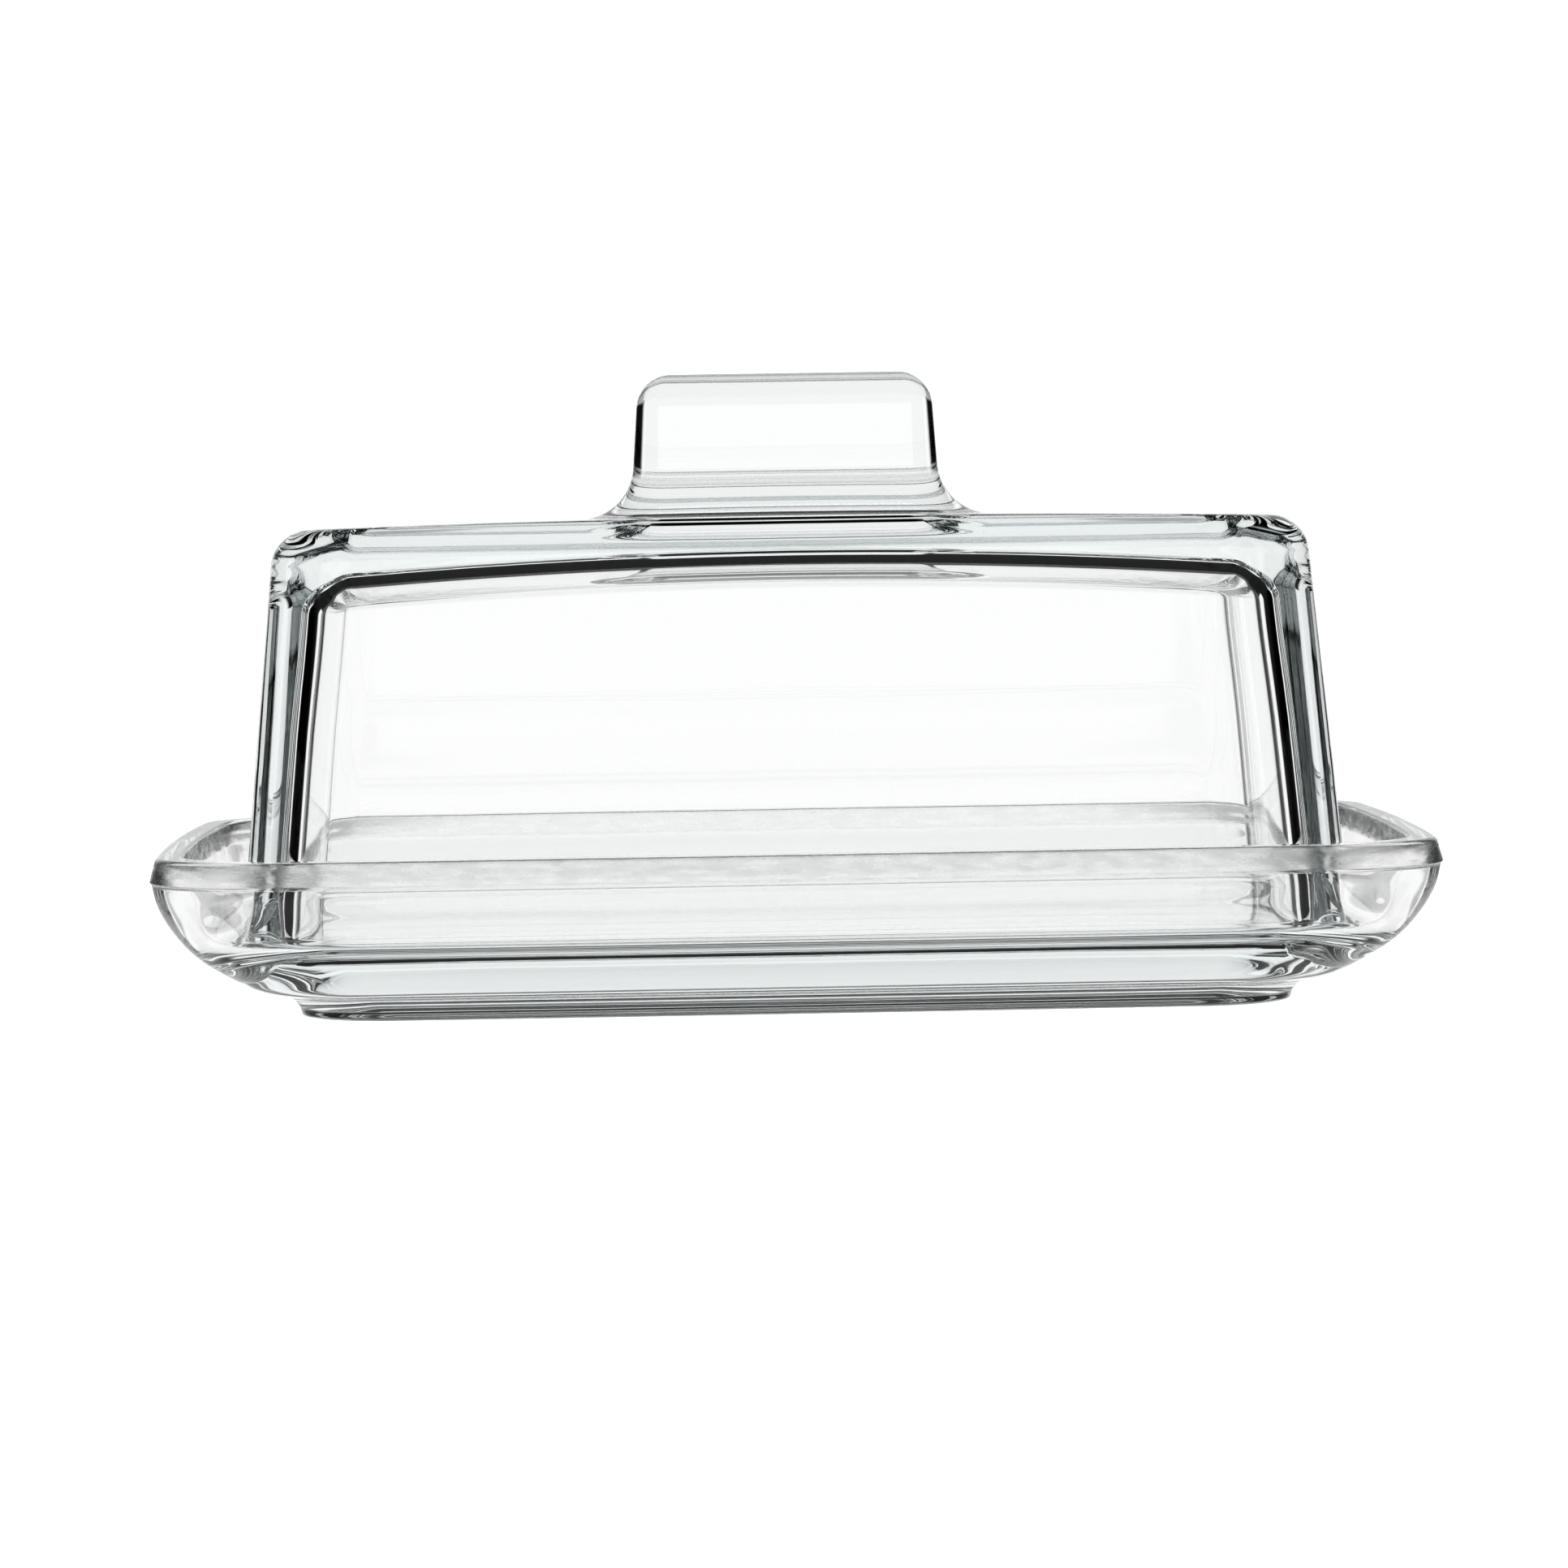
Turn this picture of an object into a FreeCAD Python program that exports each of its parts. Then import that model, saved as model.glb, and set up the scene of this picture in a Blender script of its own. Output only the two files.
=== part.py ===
import FreeCAD, Part
import math
import os
import Sketcher

# Clear pressed-glass butter dish: a low tray and a lift-off cover with a bar handle.
# Millimetres, +Z up, the tray stands on z = 0 and is centred on the origin, +X along its length.

os.makedirs("parts", exist_ok=True)
doc = FreeCAD.newDocument("butter_dish")

SIZES = [
    # tray, outside: full length and depth, plan corner radius and level of each outline
    ("foot_length", 149.2), ("foot_depth", 74.6), ("foot_corner", 12.0), ("foot_level", 0.0),
    ("sole_length", 149.8), ("sole_depth", 75.2), ("sole_corner", 12.0), ("sole_level", 1.3),
    ("heel_length", 151.0), ("heel_depth", 76.4), ("heel_corner", 12.1), ("heel_level", 2.15),
    ("instep_length", 154.4), ("instep_depth", 79.8), ("instep_corner", 12.3), ("instep_level", 3.15),
    ("low_length", 159.6), ("low_depth", 85.0), ("low_corner", 12.7), ("low_level", 4.15),
    ("flank_length", 169.2), ("flank_depth", 94.6), ("flank_corner", 14.0), ("flank_level", 6.3),
    ("waist_length", 178.8), ("waist_depth", 104.2), ("waist_corner", 15.3), ("waist_level", 9.9),
    ("upper_length", 185.8), ("upper_depth", 111.2), ("upper_corner", 16.2), ("upper_level", 14.2),
    ("brow_length", 190.0), ("brow_depth", 115.4), ("brow_corner", 16.5), ("brow_level", 18.7),
    ("collar_length", 191.0), ("collar_depth", 116.4), ("collar_corner", 16.5), ("collar_level", 21.2),
    # rim band
    ("band_length", 191.6), ("band_depth", 117.0), ("band_corner", 16.6),
    ("lip_length", 189.8), ("lip_depth", 115.2), ("lip_corner", 16.2), ("rim_level", 25.0),
    ("rim_round", 0.8),
    # bow of the tray's ends and long sides, as radius over depth and over length squared / depth
    ("end_curve", 6.65), ("side_curve", 11.25),
    # tray, inside
    ("seat_length", 165.2), ("seat_depth", 90.6), ("seat_corner", 10.5), ("seat_level", 12.3),
    ("bowl_length", 173.4), ("bowl_depth", 98.8), ("bowl_corner", 11.8), ("bowl_level", 14.8),
    ("neck_length", 179.6), ("neck_depth", 105.0), ("neck_corner", 13.0), ("neck_level", 18.6),
    ("mouth_length", 182.4), ("mouth_depth", 107.8), ("mouth_corner", 13.5), ("mouth_level", 25.5),
    # hollow under the tray
    ("hollow_length", 136.4), ("hollow_depth", 61.8), ("hollow_corner", 9.0), ("hollow_rise", 0.6),
    # cover
    ("cover_base_level", 12.4), ("cover_base_length", 163.8), ("cover_base_depth", 89.2),
    ("cover_top_level", 76.0), ("cover_top_length", 152.5), ("cover_top_depth", 77.9),
    ("cover_corner", 10.0), ("cover_lip_round", 1.0),
    ("shoulder_level", 72.2), ("crown_level", 73.4), ("shoulder_round", 5.4),
    # inside of the cover
    ("wall", 6.8), ("ceiling_shoulder", 64.8), ("ceiling_crown", 68.0),
    ("space_corner", 5.2), ("inner_round", 4.6),
    # handle
    ("grip_base_level", 68.0), ("grip_base_length", 48.2), ("grip_base_width", 18.4),
    ("grip_top_level", 95.0), ("grip_top_length", 44.4), ("grip_top_width", 15.0),
    ("grip_corner", 5.8), ("grip_round", 4.6), ("grip_flare", 6.5),
]

sheet = doc.addObject("Spreadsheet::Sheet", "sizes")
for row, (word, value) in enumerate(SIZES, start=1):
    sheet.set("A%d" % row, word)
    sheet.set("B%d" % row, "%g" % value)
    sheet.setAlias("B%d" % row, word)
doc.recompute()
size = dict(SIZES)

Z = FreeCAD.Vector(0, 0, 1)


def new_body(name):
    body = doc.addObject("PartDesign::Body", name)
    body.Label = name
    body.Placement = FreeCAD.Placement()
    return body


def plane_of(body, role):
    for feature in body.Origin.OriginFeatures:
        if feature.Role == role:
            return feature
    raise ValueError(role)


def attached_sketch(body, name, role):
    sketch = body.newObject("Sketcher::SketchObject", name)
    sketch.AttachmentSupport = [(plane_of(body, role), "")]
    sketch.MapMode = "FlatFace"
    return sketch


def arc(centre, radius, start, end):
    circle = Part.Circle(FreeCAD.Vector(centre[0], centre[1], 0), Z, radius)
    return Part.ArcOfCircle(circle, start, end)


def heading(start, end):
    return math.atan2(end[1] - start[1], end[0] - start[0])


def outline(body, name, words, level, bow):
    """A centred rectangle of eight tangent arcs: round corners between gently bowed sides.
    words name its length, depth and corner radius; bow names the radii of its ends and long sides."""
    sketch = attached_sketch(body, name, "XY_Plane")
    a, b, r = (value_of(word) / f for word, f in zip(words, (2, 2, 1)))
    if bow:
        end_radius = 2 * b * size["end_curve"]
        side_radius = 2 * a * a / b * size["side_curve"]
        radii = ["(%s) * sizes.end_curve" % formula(words[1]),
                 "(%s) ^ 2 / (%s) * sizes.side_curve" % (formula(words[0]), formula(words[1]))]
    else:
        end_radius, side_radius = 100 * b, 100 * a
        radii = ["(%s) * 50" % formula(words[1]), "(%s) * 50" % formula(words[0])]
    end_x, side_y = a - end_radius, b - side_radius
    p, q = a - r, b - r
    for _ in range(60):
        p = end_x + math.sqrt((end_radius - r) ** 2 - q * q)
        q = side_y + math.sqrt((side_radius - r) ** 2 - p * p)
    tilt = heading((end_x, 0), (p, q))
    lean = heading((0, side_y), (p, q))
    half = math.pi
    for geometry in (
        arc((end_x, 0), end_radius, -tilt, tilt), arc((p, q), r, tilt, lean),
        arc((0, side_y), side_radius, lean, half - lean), arc((-p, q), r, half - lean, half - tilt),
        arc((-end_x, 0), end_radius, half - tilt, half + tilt), arc((-p, -q), r, half + tilt, half + lean),
        arc((0, -side_y), side_radius, half + lean, 2 * half - lean),
        arc((p, -q), r, 2 * half - lean, 2 * half - tilt),
    ):
        sketch.addGeometry(geometry, False)
    rule = Sketcher.Constraint
    for k in range(8):
        sketch.addConstraint(rule("Tangent", k, 2, (k + 1) % 8, 1))
    for k in (0, 4):
        sketch.addConstraint(rule("PointOnObject", k, 3, -1))
    for k in (2, 6):
        sketch.addConstraint(rule("PointOnObject", k, 3, -2))
    sketch.addConstraint(rule("Equal", 0, 4))
    sketch.addConstraint(rule("Equal", 2, 6))
    for k in (3, 5, 7):
        sketch.addConstraint(rule("Equal", 1, k))
    bind(sketch, rule("Radius", 0, end_radius), "end_radius", radii[0])
    bind(sketch, rule("Radius", 2, side_radius), "side_radius", radii[1])
    bind(sketch, rule("Radius", 1, r), "corner", formula(words[2]))
    reach_x = "%s - (%s) / 2" % (radii[0], formula(words[0]))
    reach_y = "%s - (%s) / 2" % (radii[1], formula(words[1]))
    bind(sketch, rule("DistanceX", 0, 3, -1, 1, -end_x), "right", reach_x)
    bind(sketch, rule("DistanceX", -1, 1, 4, 3, -end_x), "left", reach_x)
    bind(sketch, rule("DistanceY", 2, 3, -1, 1, -side_y), "back", reach_y)
    bind(sketch, rule("DistanceY", -1, 1, 6, 3, -side_y), "front", reach_y)
    sketch.setExpression("AttachmentOffset.Base.z", formula(level))
    return sketch


def formula(word):
    """The expression for a size's name, or for a sum of names and numbers."""
    return " ".join("sizes." + w if w in size else w for w in word.split())


def value_of(word):
    total, sign = 0.0, 1
    for w in word.split():
        if w in "+-":
            sign = 1 if w == "+" else -1
        else:
            total += sign * (size[w] if w in size else float(w))
    return total


def bind(sketch, constraint, name, expression):
    index = sketch.addConstraint(constraint)
    sketch.renameConstraint(index, name)
    sketch.setExpression("Constraints." + name, expression)


def loft(body, name, kind, sketches, ruled=False):
    feature = body.newObject("PartDesign::" + kind, name)
    feature.Profile = sketches[0]
    feature.Sections = sketches[1:]
    feature.Ruled = ruled
    doc.recompute()
    return feature


def edges_at(shape, test):
    return ["Edge%d" % (k + 1) for k, edge in enumerate(shape.Edges) if test(edge.BoundBox)]


def fillet(body, name, test, word):
    base = body.Tip
    names = edges_at(base.Shape, test)
    if not names:
        raise ValueError(name + ": no edge found")
    feature = body.newObject("PartDesign::Fillet", name)
    feature.Base = (base, names)
    feature.setExpression("Radius", formula(word))
    doc.recompute()
    return feature


def flat_at(level, slack=0.02):
    return lambda box: abs(box.ZMin - level) < slack and abs(box.ZMax - level) < slack


def outlines(body, words, bow=True):
    """One outline for each word, whose sizes are word_length, word_depth, word_corner and word_level."""
    made = []
    for word in words:
        names = (word + "_length", word + "_depth", word + "_corner")
        made.append(outline(body, word + "_outline", names, word + "_level", bow))
    doc.recompute()
    return made


# --- tray ---------------------------------------------------------------------------------------

tray = new_body("tray_body")
loft(tray, "sole_block", "AdditiveLoft", outlines(tray, ("foot", "sole")), ruled=True)
wall_words = ("heel", "instep", "low", "flank", "waist", "upper", "brow", "collar")
sole_top = outline(tray, "sole_top", ("sole_length", "sole_depth", "sole_corner"), "sole_level", True)
loft(tray, "flared_wall", "AdditiveLoft", [sole_top] + outlines(tray, wall_words))
band = [
    outline(tray, "band_outline", ("band_length", "band_depth", "band_corner"), "collar_level", True),
    outline(tray, "lip_outline", ("lip_length", "lip_depth", "lip_corner"), "rim_level", True),
]
doc.recompute()
loft(tray, "rim_band", "AdditiveLoft", band, ruled=True)
loft(tray, "bowl_space", "SubtractiveLoft", outlines(tray, ("seat", "bowl", "neck", "mouth")))

hollow = outline(
    tray, "hollow_outline", ("hollow_length", "hollow_depth", "hollow_corner"), "foot_level", True
)
doc.recompute()
before = tray.Shape.Volume
cut = tray.newObject("PartDesign::Pocket", "foot_hollow")
cut.Profile = hollow
cut.setExpression("Length", "sizes.hollow_rise")
cut.Reversed = True
doc.recompute()
print("hollow takes", round(before - tray.Shape.Volume))
fillet(tray, "rim_rounding", flat_at(size["rim_level"]), "rim_round")

# --- cover, outside and handle --------------------------------------------------------------------

cover = new_body("cover_body")
walls = [
    outline(cover, "cover_base", ("cover_base_length", "cover_base_depth", "cover_corner"),
            "cover_base_level", False),
    outline(cover, "cover_head", ("cover_top_length", "cover_top_depth", "cover_corner"),
            "cover_top_level", False),
]
doc.recompute()
loft(cover, "cover_walls", "AdditiveLoft", walls, ruled=True)


def crown_cut(body, name, shoulder_word, crown_word):
    """Takes off what stands above a shallow arch along X."""
    sketch = attached_sketch(body, name + "_arch", "XZ_Plane")
    low, high = size[shoulder_word], size[crown_word]
    reach = size["cover_top_length"] / 2
    rise = high - low
    radius = (reach * reach + rise * rise) / (2 * rise)
    over = reach + 20
    drop = radius - (radius * radius - over * over) ** 0.5
    point = FreeCAD.Vector
    side = high - drop
    roof = high + 25
    arch = Part.Arc(point(-over, side, 0), point(0, high, 0), point(over, side, 0))
    for geometry in (
        arch, Part.LineSegment(point(over, side, 0), point(over, roof, 0)),
        Part.LineSegment(point(over, roof, 0), point(-over, roof, 0)),
        Part.LineSegment(point(-over, roof, 0), point(-over, side, 0)),
    ):
        sketch.addGeometry(geometry, False)
    doc.recompute()
    before = body.Shape.Volume
    cut = body.newObject("PartDesign::Pocket", name)
    cut.Profile = sketch
    cut.Type = "ThroughAll"
    cut.Midplane = True
    doc.recompute()
    print(name, "takes", round(before - body.Shape.Volume))


crown_cut(cover, "crown", "shoulder_level", "crown_level")
fillet(cover, "shoulder_rounding", lambda box: box.ZMin > 65 and box.ZMax < 75, "shoulder_round")
fillet(cover, "lip_rounding", flat_at(size["cover_base_level"]), "cover_lip_round")
grip = [
    outline(cover, "grip_base", ("grip_base_length", "grip_base_width", "grip_corner"),
            "grip_base_level", False),
    outline(cover, "grip_head", ("grip_top_length", "grip_top_width", "grip_corner"),
            "grip_top_level", False),
]
doc.recompute()
loft(cover, "grip", "AdditiveLoft", grip, ruled=True)
fillet(cover, "grip_rounding", flat_at(size["grip_top_level"]), "grip_round")
reach = size["grip_base_length"] / 2 + 1
fillet(
    cover, "grip_flare",
    lambda box: box.ZMin > 71 and box.ZMax < 75 and abs(box.XMin) < reach and abs(box.XMax) < reach,
    "grip_flare",
)

# --- the space inside the cover -------------------------------------------------------------------

space = new_body("cover_space")
inset = " - wall - wall"
walls = [
    outline(space, "space_base", ("cover_base_length" + inset, "cover_base_depth" + inset, "space_corner"),
            "cover_base_level - 2", False),
    outline(space, "space_head", ("cover_top_length" + inset, "cover_top_depth" + inset, "space_corner"),
            "cover_top_level", False),
]
doc.recompute()
loft(space, "space_walls", "AdditiveLoft", walls, ruled=True)
crown_cut(space, "ceiling", "ceiling_shoulder", "ceiling_crown")
fillet(space, "ceiling_rounding", lambda box: box.ZMin > 60 and box.ZMax < 70, "inner_round")

# --- the two pieces -------------------------------------------------------------------------------

dish = doc.addObject("Part::Refine", "dish")
dish.Source = tray
dish.Label = "dish"

lid = doc.addObject("Part::Cut", "lid")
lid.Base = cover
lid.Tool = space
lid.Label = "lid"
doc.recompute()

for thing in doc.Objects:
    if "Invalid" in thing.State or "Error" in thing.State:
        raise ValueError("%s is broken: %s" % (thing.Name, thing.State))
for piece in (dish, lid):
    shape = piece.Shape
    if shape.isNull() or not shape.isValid() or len(shape.Solids) != 1:
        raise ValueError(piece.Label + " isn't one good solid")
    shape.exportStep("parts/%s.step" % piece.Label)
    box = shape.BoundBox
    print(piece.Label, "x %.2f y %.2f z %.2f..%.2f" % (box.XLength, box.YLength, box.ZMin, box.ZMax),
          "volume", round(shape.Volume), "faces", len(shape.Faces))
print("overlap", dish.Shape.common(lid.Shape).Volume, "gap", dish.Shape.distToShape(lid.Shape)[0])
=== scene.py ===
import math

import bmesh
import bpy
import numpy as np
from mathutils import Matrix, Vector


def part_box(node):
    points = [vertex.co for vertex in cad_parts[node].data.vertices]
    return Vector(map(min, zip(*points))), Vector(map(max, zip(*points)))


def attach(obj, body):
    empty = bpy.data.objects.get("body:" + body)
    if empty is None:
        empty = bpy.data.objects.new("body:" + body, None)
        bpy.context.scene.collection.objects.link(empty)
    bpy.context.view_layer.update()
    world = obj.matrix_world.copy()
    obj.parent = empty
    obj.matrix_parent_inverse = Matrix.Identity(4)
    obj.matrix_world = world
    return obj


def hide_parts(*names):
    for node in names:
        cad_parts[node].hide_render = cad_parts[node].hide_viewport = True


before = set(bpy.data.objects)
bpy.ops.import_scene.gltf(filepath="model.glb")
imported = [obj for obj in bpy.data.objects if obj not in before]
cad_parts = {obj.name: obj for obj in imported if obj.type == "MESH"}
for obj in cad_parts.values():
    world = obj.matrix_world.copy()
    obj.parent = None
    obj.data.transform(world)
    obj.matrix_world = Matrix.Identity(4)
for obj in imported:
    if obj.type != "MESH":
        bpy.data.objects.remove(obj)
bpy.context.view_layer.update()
MM = 0.001

# ---------------------------------------------------------------- profiles and rings
# Sections and rings are drawn in millimetres; shell() turns them into metres.


def arc_steps(angle, step=5.0):
    return max(4, int(math.ceil(abs(math.degrees(angle)) / step)))


def graded(length, fine, coarse):
    """Places from 0 to 1 along a straight run: close together near both ends, further apart between."""
    if length < 3 * fine:
        return [0.0, 1.0]
    steps, reach, step = [], 0.0, fine
    while reach + step < length / 2:
        reach += step
        steps.append(reach)
        step = min(step * 1.7, coarse)
    near = [s / length for s in steps]
    middle = [] if near and 0.5 - near[-1] < 0.3 * step / length else [0.5]
    return [0.0] + near + middle + [1 - s for s in reversed(near)] + [1.0]


def rounded_path(corners, coarse=6.0):
    """A run of points through corners (x, y, radius), with a tangent arc at each inner one."""
    points = [np.array(c[:2], float) for c in corners]
    radii = [c[2] for c in corners]
    pieces = []
    for k in range(1, len(points) - 1):
        p, q, r = points[k - 1], points[k], points[k + 1]
        u, v = (p - q) / np.linalg.norm(p - q), (r - q) / np.linalg.norm(r - q)
        inside = math.acos(max(-1, min(1, float(u @ v))))
        back = radii[k] / math.tan(inside / 2)
        start, end = q + u * back, q + v * back
        centre = q + (u + v) / np.linalg.norm(u + v) * radii[k] / math.sin(inside / 2)
        turn = math.pi - inside
        n = arc_steps(turn)
        a, b = start - centre, end - centre
        pieces.append([
            centre + (a * math.sin((1 - t) * turn) + b * math.sin(t * turn)) / math.sin(turn)
            for t in (i / n for i in range(n + 1))
        ])
    out = [points[0]]
    for run in pieces + [[points[-1]]]:
        last = out[-1]
        length = float(np.linalg.norm(run[0] - last))
        if length > 1e-6:
            out += [last + (run[0] - last) * t for t in graded(length, 0.25, coarse)[1:]]
        out += run[1:]
    return out


def smooth_run(keys, per):
    """A natural cubic curve through the keys (x, y), with a number of points per span."""
    p = np.array(keys, float)
    d = np.maximum(np.linalg.norm(np.diff(p[:, :2], axis=0), axis=1), 1e-6)
    n = len(p)
    a, rhs = np.zeros((n, n)), np.zeros((n, p.shape[1]))
    a[0, 0] = a[-1, -1] = 1
    for i in range(1, n - 1):
        a[i, i - 1], a[i, i], a[i, i + 1] = d[i - 1], 2 * (d[i - 1] + d[i]), d[i]
        rhs[i] = 6 * ((p[i + 1] - p[i]) / d[i] - (p[i] - p[i - 1]) / d[i - 1])
    m = np.linalg.solve(a, rhs)
    out = []
    for i in range(n - 1):
        for j in range(per):
            x = d[i] * j / per
            y = d[i] - x
            out.append(
                (m[i] * y ** 3 + m[i + 1] * x ** 3) / (6 * d[i])
                + (p[i] / d[i] - m[i] * d[i] / 6) * y
                + (p[i + 1] / d[i] - m[i + 1] * d[i] / 6) * x
            )
    out.append(p[-1])
    return out


LONG = graded(140, 0.5, 6.0)
SHORT = graded(70, 0.5, 6.0)
TURN = 18  # steps round each corner of a ring


def fade(value, low, high):
    """0 up to low, 1 from high, and a smooth rise between."""
    t = max(0.0, min(1.0, (value - low) / (high - low)))
    return t * t * (3 - 2 * t)


def ring(a, b, r, bow):
    """A centred rounded rectangle of half sizes a and b, anticlockwise, always with the same count.
    bow is how far the ends and the long sides fall back from their middles to their corners."""
    r = max(0.0, min(r, a, b))
    xs, ys = a - r, b - r
    out = []
    for quarter, (cx, cy) in enumerate(((xs, ys), (-xs, ys), (-xs, -ys), (xs, -ys))):
        for i in range(TURN):
            t = math.radians(90 * (quarter + i / TURN))
            out.append((cx + r * math.cos(t), cy + r * math.sin(t)))
        t = math.radians(90 * (quarter + 1))
        start = (cx + r * math.cos(t), cy + r * math.sin(t))
        nx, ny = ((-xs, ys), (-xs, -ys), (xs, -ys), (xs, ys))[quarter]
        end = (nx + r * math.cos(t), ny + r * math.sin(t))
        for f in (LONG if quarter % 2 == 0 else SHORT)[:-1]:
            out.append((start[0] + (end[0] - start[0]) * f, start[1] + (end[1] - start[1]) * f))
    out = np.array(out)
    across, along = (out[:, 1] / max(b, 1e-6)) ** 2, (out[:, 0] / max(a, 1e-6)) ** 2
    return out * (1 - np.c_[bow[0] / max(a, 1) * across, bow[1] / max(b, 1) * along])


def shell(name, rings, bow=(0.0, 0.0)):
    """A closed mesh through rings (a, b, r, z, bend): the first and last shrink to a line.
    bend times the square of x is how far a point falls below z.
    bow is for a ring of full size and shrinks with the ring."""
    full = max(r[1] for r in rings)
    verts, faces = [], []
    for a, b, r, z, bend in rings:
        xy = ring(a, b, r, (bow[0] * b / full, bow[1] * b / full))
        verts.append(np.c_[xy, z - bend * xy[:, 0] ** 2])
    count = len(verts[0])
    for k in range(len(verts) - 1):
        low, high = k * count, (k + 1) * count
        for i in range(count):
            j = (i + 1) % count
            faces.append((low + i, low + j, high + j, high + i))
    mesh = bpy.data.meshes.new(name)
    mesh.from_pydata((np.concatenate(verts) * MM).tolist(), [], faces)
    bm = bmesh.new()
    bm.from_mesh(mesh)
    bmesh.ops.remove_doubles(bm, verts=bm.verts, dist=1e-7)
    bmesh.ops.recalc_face_normals(bm, faces=bm.faces)
    for face in bm.faces:
        face.smooth = True
    bm.to_mesh(mesh)
    bm.free()
    mesh.update()
    thing = bpy.data.objects.new(name, mesh)
    bpy.context.scene.collection.objects.link(thing)
    return thing


def blend_rings(start, end, count):
    """Rings in even steps from one to another, without the first."""
    start, end = np.array(start, float), np.array(end, float)
    return [tuple(start + (end - start) * k / count) for k in range(1, count + 1)]


# ---------------------------------------------------------------- cover

low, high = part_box("lid")
base_z, top_z = low[2] / MM, high[2] / MM
A, B = high[0] / MM, high[1] / MM
CORNER = 10.0  # plan radius of the outer corners
DRAFT = 0.0884  # how far the walls lean in for each unit of height
CROWN = 73.4  # height of the top
CEILING = 68.0  # height of the space inside
WALL = 6.8
SHOULDER = 5.4  # radius from the walls into the top
LIP = 2.5  # middle of the lower edge
SPACE_CORNER = 5.0  # plan radius inside, at the ceiling
SPACE_ROUND = 6.0  # radius from the walls into the ceiling
FLAT = 9.0  # run of the top and the ceiling that belongs to the walls' rings

# the crown and the ceiling arch gently along the length, on these radii
CROWN_RADIUS, CEILING_RADIUS = 2450.0, 880.0
OUTER_BEND, INNER_BEND = 1 / (2 * CROWN_RADIUS), 1 / (2 * CEILING_RADIUS)
STRAIGHT_BELOW = 40.0  # height where the arch has faded out of the walls

# the handle at its root, how it flares into the crown, leans in as it rises and is rounded on top
GRIP_A, GRIP_B, GRIP_CORNER = 23.8, 8.9, 5.6
FLARE, LEAN, GRIP_ROUND = 8.0, 0.07, 5.4


def wall_rings():
    """From the middle of the ceiling down the inside, round the lip and up the outside to the crown."""
    inner_top = WALL + DRAFT * (CEILING - base_z)
    outer_top = DRAFT * (CROWN - base_z)
    inside = rounded_path([
        (inner_top + FLAT, CEILING, 0), (inner_top, CEILING, SPACE_ROUND),
        (WALL, base_z, 0.8), (LIP, base_z, 0),
    ])
    outside = rounded_path([
        (LIP, base_z, 0), (0, base_z, 1.0), (outer_top, CROWN, SHOULDER), (outer_top + FLAT, CROWN, 0),
    ])
    centre = (A - B + 4, 0.0, 0.0, CEILING, INNER_BEND)
    d = inside[0][0]
    rings = [centre] + blend_rings(centre, (A - d, B - d, 0.4, CEILING, INNER_BEND), 12)
    for d, z in inside[1:]:
        corner = max(0.4, SPACE_CORNER - max(0.0, d - inner_top))
        rings.append((A - d, B - d, corner, z, INNER_BEND * fade(z, STRAIGHT_BELOW, CEILING - 6)))
    for d, z in outside[1:]:
        corner = CORNER - 7 * fade(d, outer_top + 1, outer_top + FLAT)
        rings.append((A - d, B - d, corner, z, OUTER_BEND * fade(z, STRAIGHT_BELOW, CROWN - 7)))
    return rings


def grip_rings(start):
    """From the last ring of the crown to the handle's flare, up its sides and across its top."""
    rise = top_z - CROWN
    climb = rounded_path([
        (FLARE + 6, CROWN, 0), (0, CROWN, FLARE), (-LEAN * rise, top_z, GRIP_ROUND),
        (-LEAN * rise - 6.2, top_z, 0),
    ])
    e = climb[0][0]
    rings = blend_rings(start, (GRIP_A + e, GRIP_B + e, GRIP_CORNER + e, CROWN, OUTER_BEND), 12)
    for e, z in climb[1:]:
        corner = max(0.6, GRIP_CORNER + e)
        bend = OUTER_BEND * (1 - fade(z, CROWN, CROWN + FLARE))
        rings.append((GRIP_A + e, GRIP_B + e, corner, z, bend))
    last = rings[-1]
    return rings + blend_rings(last, (last[0] - last[1], 0.0, 0.0, top_z, 0.0), 4)


walls = wall_rings()
cover = shell("cover_glass", walls + grip_rings(walls[-1]))

# ---------------------------------------------------------------- tray

low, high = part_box("dish")
TA, TB, RIM = high[0] / MM, high[1] / MM, high[2] / MM
SEAT = base_z - 0.1
HOLLOW = 0.3
BOW = (2.2, 1.3)  # of the ends and of the long sides


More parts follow.
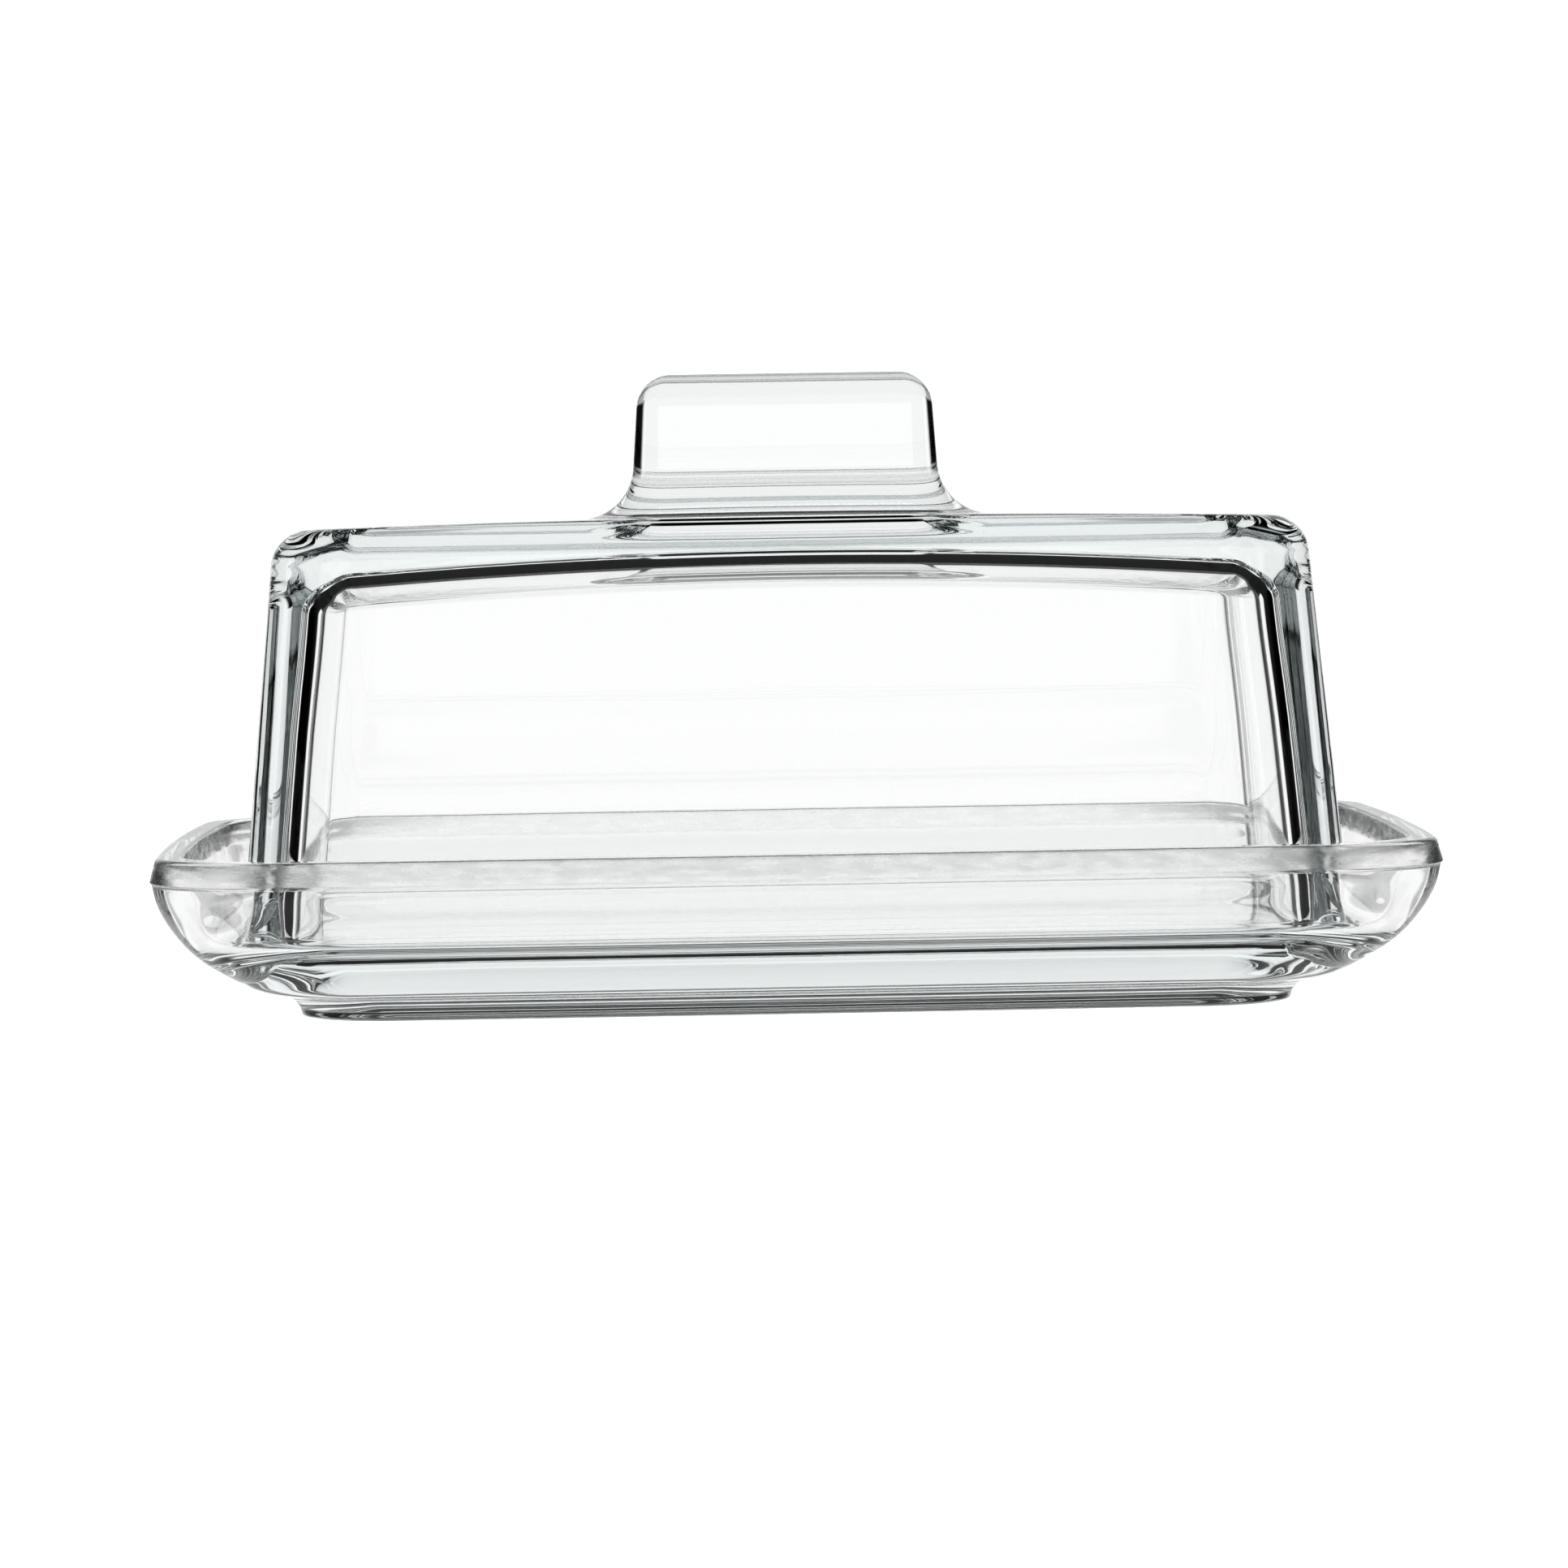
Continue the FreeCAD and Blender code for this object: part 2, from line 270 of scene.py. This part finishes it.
def tray_rings():
    """From the middle of the underside out and up, over the rim and down to the middle of the seat.
    Sections hold the offset inward from the rim's widest line, and the height."""
    under = rounded_path([
        (52.0, HOLLOW, 0), (47.0, HOLLOW, 30.0), (29.0, 0.0, 12.0), (21.2, 0.0, 0.6), (20.9, 1.3, 0),
    ], 4.0)
    outside = smooth_run([
        (20.9, 1.3), (20.3, 2.15), (18.6, 3.35), (16.0, 3.91), (12.2, 5.81), (6.6, 9.74),
        (2.9, 14.2), (0.8, 18.7), (0.3, 21.2),
    ], 8)
    band = rounded_path([
        (0.3, 21.2, 0), (0.0, 21.5, 0.2), (0.9, RIM, 0.8), (4.6, RIM, 0.8), (5.0, 23.4, 0),
    ], 2.0)
    inside = smooth_run([
        (5.0, 23.4), (5.3, 21.0), (6.1, 18.1), (7.3, 15.5), (8.8, 13.6), (10.8, SEAT + 0.14), (13.0, SEAT),
    ], 6)
    centre = (TA - TB + 6, 0.0, 0.0, HOLLOW, 0.0)
    d, z = under[0]
    rings = [centre] + blend_rings(centre, (TA - d, TB - d, 3.0, z, 0.0), 4)
    for d, z in under[1:]:
        rings.append((TA - d, TB - d, max(3.0, 12.0 - max(0.0, d - 22.0)), z, 0.0))
    for d, z in outside[1:] + band[1:]:
        rings.append((TA - d, TB - d, 16.5 - 4.5 * fade(d, 0.5, 22.0), z, 0.0))
    for d, z in inside[1:]:
        rings.append((TA - d, TB - d, 13.5 - 2.5 * fade(d, 5, 14.2), z, 0.0))
    return rings + blend_rings(rings[-1], (TA - TB, 0.0, 0.0, SEAT, 0.0), 10)


tray = shell("tray_glass", tray_rings(), BOW)

# ---------------------------------------------------------------- glass


def maths(tree, operation, *values):
    node = tree.nodes.new("ShaderNodeMath")
    node.operation = operation
    for k, value in enumerate(values):
        if isinstance(value, (int, float)):
            node.inputs[k].default_value = value
        else:
            tree.links.new(value, node.inputs[k])
    return node.outputs[0]


def remap(tree, value, low, high, to_low=0.0, to_high=1.0, shape="LINEAR"):
    node = tree.nodes.new("ShaderNodeMapRange")
    node.interpolation_type = shape
    tree.links.new(value, node.inputs["Value"])
    for word, number in (("From Min", low), ("From Max", high), ("To Min", to_low), ("To Max", to_high)):
        if isinstance(number, (int, float)):
            node.inputs[word].default_value = number
        else:
            tree.links.new(number, node.inputs[word])
    return node.outputs[0]


def step_up(tree, value, low, high, to_low=0.0, to_high=1.0):
    return remap(tree, value, low, high, to_low, to_high, "SMOOTHSTEP")


def noise(tree, place, scale, detail, stretch):
    spread = tree.nodes.new("ShaderNodeMapping")
    spread.inputs["Scale"].default_value = stretch
    tree.links.new(place, spread.inputs["Vector"])
    grain = tree.nodes.new("ShaderNodeTexNoise")
    grain.inputs["Scale"].default_value = scale
    grain.inputs["Detail"].default_value = detail
    tree.links.new(spread.outputs[0], grain.inputs["Vector"])
    return grain.outputs["Fac"]


def bump(tree, height, strength, distance):
    node = tree.nodes.new("ShaderNodeBump")
    node.inputs["Strength"].default_value = strength
    node.inputs["Distance"].default_value = distance
    tree.links.new(height, node.inputs["Height"])
    return node


TINT = (0.85, 0.91, 0.905)


def glass(name, band, waves):
    """Clear pressed glass: waves of a given depth, scuffs, and a satin band between two heights."""
    mat = bpy.data.materials.new(name)
    mat.use_nodes = True
    tree = mat.node_tree
    shader = tree.nodes["Principled BSDF"]
    shader.inputs["Base Color"].default_value = (1, 1, 1, 1)
    shader.inputs["IOR"].default_value = 1.51
    shader.inputs["Transmission Weight"].default_value = 1.0

    coordinates = tree.nodes.new("ShaderNodeTexCoord")
    place = coordinates.outputs["Object"]
    split = tree.nodes.new("ShaderNodeSeparateXYZ")
    tree.links.new(place, split.inputs[0])
    height = split.outputs["Z"]
    above = remap(tree, height, band[0] - 0.0002, band[0] + 0.0002)
    in_band = maths(tree, "MULTIPLY", above, remap(tree, height, band[1] + 0.0003, band[1] - 0.0003))
    satin = remap(tree, noise(tree, place, 260, 6, (1, 1, 4)), 0.36, 0.64, 0.16, 0.38)
    scuffs = remap(tree, noise(tree, place, 900, 3, (0.15, 0.15, 2.2)), 0.64, 0.80, 0.0, 0.06)
    roughness = maths(tree, "MAXIMUM", scuffs, maths(tree, "MULTIPLY", satin, in_band))
    tree.links.new(roughness, shader.inputs["Roughness"])

    ripple = bump(tree, noise(tree, place, 70, 1.5, (1, 1, 0.35)), 0.2, waves)
    grain = maths(tree, "MULTIPLY", noise(tree, place, 700, 4, (1, 1, 3)), in_band)
    speckle = bump(tree, grain, 0.5, 0.00005)
    tree.links.new(ripple.outputs[0], speckle.inputs["Normal"])
    tree.links.new(speckle.outputs[0], shader.inputs["Normal"])

    absorb = tree.nodes.new("ShaderNodeVolumeAbsorption")
    absorb.inputs["Color"].default_value = (*TINT, 1)
    absorb.inputs["Density"].default_value = 4.5
    tree.links.new(absorb.outputs[0], tree.nodes["Material Output"].inputs["Volume"])
    return mat


# heights and depths in metres; the cover has no satin band, so its band lies below the floor
for thing, body, node, slot, band, waves in (
    (cover, "cover", "lid", "lid_glass", (-0.01, -0.005), 0.00012),
    (tray, "tray", "dish", "dish_glass", (0.0214, 0.0247), 0.00004),
):
    thing.data.materials.append(glass(slot, band, waves))
    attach(thing, body)
    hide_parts(node)

# ---------------------------------------------------------------- floor, light, camera

# painted light: glow of the floor seen through the glass, a painted pool of light near the tray and
# painted light toward the panels, and a dimmer glow elsewhere
FLOOR_PAINTED_LIGHT, FLOOR_DIM = 0.98, 0.62
# brightness of the floor and the background straight to the camera
FLOOR_SEEN, SKY_SEEN = 1.2, 1.1
FLOOR_RADIUS = 0.42
# how far from the middle the painted pool of light near the tray starts to fade and ends, less along the
# length
NEAR, FAR, ALONG = 0.095, 0.125, 0.62
# degrees to each side that the white panels reach, toward the long sides and toward the ends,
# and degrees up, on the far side and on the camera's side
SIDES, ENDS, TOP, BACK_TOP = 33, 9, 28, 14


def cosine(degrees):
    return math.cos(math.radians(degrees))


def sine(degrees):
    return math.sin(math.radians(degrees))


def windows(tree, x, y, across):
    """1 toward the long sides and, more narrowly, toward the ends, 0 between.
    across is the length of (x, y)."""
    to_end = maths(tree, "DIVIDE", maths(tree, "ABSOLUTE", x), across)
    to_side = maths(tree, "DIVIDE", maths(tree, "ABSOLUTE", y), across)
    ends = step_up(tree, to_end, cosine(ENDS), cosine(ENDS - 5))
    sides = step_up(tree, to_side, cosine(SIDES), cosine(SIDES - 8))
    return maths(tree, "MAXIMUM", ends, sides)


def length_of(tree, x, y):
    squares = maths(tree, "MULTIPLY_ADD", x, x, maths(tree, "MULTIPLY", y, y))
    return maths(tree, "SQRT", maths(tree, "MAXIMUM", squares, 0.0001))


def axes(tree, word):
    place = tree.nodes.new("ShaderNodeTexCoord")
    split = tree.nodes.new("ShaderNodeSeparateXYZ")
    tree.links.new(place.outputs[word], split.inputs[0])
    return split.outputs


scene = bpy.context.scene
mesh = bpy.data.meshes.new("floor")
angles = [math.radians(k * 5) for k in range(72)]
edge = [(FLOOR_RADIUS * math.cos(t), FLOOR_RADIUS * math.sin(t), 0) for t in angles]
mesh.from_pydata(edge, [], [tuple(range(72))])
floor = bpy.data.objects.new("floor", mesh)
floor.location.z = -0.0002
scene.collection.objects.link(floor)
# the floor is not lit but glows: an even white straight to the camera, and painted light for rays through
# the glass
paint = bpy.data.materials.new("floor_white")
paint.use_nodes = True
tree = paint.node_tree
matt = tree.nodes["Principled BSDF"]
matt.inputs["Base Color"].default_value = (0.02, 0.02, 0.02, 1)
matt.inputs["Roughness"].default_value = 1.0
matt.inputs["Emission Color"].default_value = (1, 1, 1, 1)
x, y, z = axes(tree, "Object")
out_from_middle = length_of(tree, x, y)
# painted light: a painted pool of light round the tray and painted light on the floor toward the white
# panels, dimmer elsewhere
near = step_up(tree, length_of(tree, maths(tree, "MULTIPLY", x, ALONG), y), FAR, NEAR)
painted_light_mask = maths(tree, "MAXIMUM", near, windows(tree, x, y, out_from_middle))
direct = tree.nodes.new("ShaderNodeLightPath").outputs["Is Camera Ray"]
through = step_up(tree, painted_light_mask, 0.0, 1.0, FLOOR_DIM, FLOOR_PAINTED_LIGHT)
painted_floor_glow = step_up(tree, direct, 0.0, 1.0, through, FLOOR_SEEN)
tree.links.new(painted_floor_glow, matt.inputs["Emission Strength"])
mesh.materials.append(paint)

world = bpy.data.worlds.new("studio")
world.use_nodes = True
scene.world = world
sky = world.node_tree
x, y, z = axes(sky, "Generated")
limit = step_up(sky, y, -0.15, 0.15, sine(BACK_TOP), sine(TOP))
cut = maths(sky, "MULTIPLY_ADD", maths(sky, "SUBTRACT", limit, z), 14.0, 0.5)
low_down = maths(sky, "MINIMUM", 1.0, maths(sky, "MAXIMUM", 0.0, cut))
panels = maths(sky, "MULTIPLY", windows(sky, x, y, length_of(sky, x, y)), low_down)
below = step_up(sky, z, -0.12, -0.20, 0.0, FLOOR_DIM)
seen = sky.nodes.new("ShaderNodeLightPath").outputs["Is Camera Ray"]
around = maths(sky, "MAXIMUM", panels, below)
strength = maths(sky, "MAXIMUM", around, maths(sky, "MULTIPLY", seen, SKY_SEEN))
sky.nodes["Background"].inputs["Color"].default_value = (1, 1, 1, 1)
sky.links.new(strength, sky.nodes["Background"].inputs["Strength"])

scene.view_settings.view_transform = "Standard"
scene.view_settings.gamma = 0.62  # deepens the dark lines in the glass
scene.cycles.max_bounces = 32
scene.cycles.transmission_bounces = 32
scene.cycles.glossy_bounces = 16
scene.cycles.transparent_max_bounces = 16

# the camera turns YAW round the dish, at DISTANCE and EYE high, a little ASIDE (metres)
YAW, PITCH, ROLL = math.radians(1.30), math.radians(3.25), math.radians(0.92)
DISTANCE, EYE, ASIDE = 0.7925, 0.0769, -0.0009
camera_data = bpy.data.cameras.new("camera")
camera_data.sensor_width = 36
camera_data.lens = 118.211
camera = bpy.data.objects.new("camera", camera_data)
scene.collection.objects.link(camera)
scene.camera = camera
turn = Matrix.Rotation(-YAW, 4, "Z")
look = turn @ Vector((0, math.cos(PITCH), -math.sin(PITCH)))
camera.rotation_mode = "QUATERNION"
camera.rotation_quaternion = look.to_track_quat("-Z", "Y") @ Matrix.Rotation(-ROLL, 3, "Z").to_quaternion()
camera.location = turn @ Vector((ASIDE, -DISTANCE, EYE))
